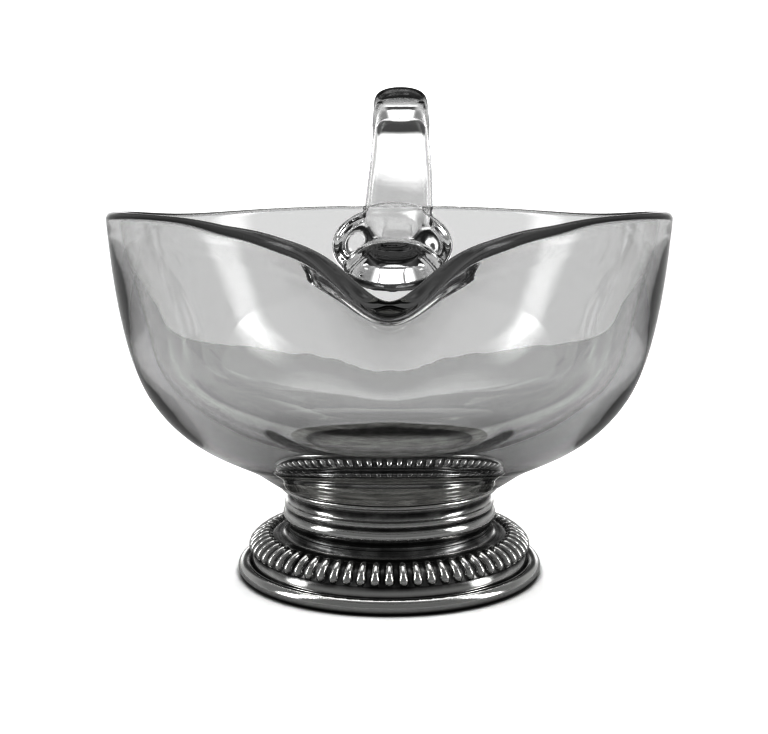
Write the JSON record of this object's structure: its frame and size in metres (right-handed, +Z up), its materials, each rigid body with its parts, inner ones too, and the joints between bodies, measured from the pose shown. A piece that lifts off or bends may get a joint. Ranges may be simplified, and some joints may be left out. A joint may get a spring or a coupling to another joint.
{
  "type": "footed sauce boat",
  "caption": "Clear glass sauce boat with pulled spout and looped glass handle, cemented into a spun silver foot with gadrooned border.",
  "frame": {"origin": "centre of the foot's underside, on the table", "axes": "+Z up, spout towards -Y, handle towards +Y, +X to the right as seen from the spout"},
  "size_m": [0.121, 0.1776, 0.113],
  "materials": {
    "clear_glass": "clear, fire-polished",
    "silver": "polished silver with dark tarnish in the recesses",
    "silver_plate": "satin silver, lightly scratched",
    "cement": "rough plaster cement"
  },
  "bodies": {
    "root": {"glass_bowl": "clear_glass", "handle": "clear_glass", "bezel_ring": "silver", "neck_collar": "silver", "foot_shell": "silver", "gadroon_border": "silver", "base_wire": "silver", "base_plate": "silver_plate", "cement_fill": "cement"}
  },
  "joints": []
}
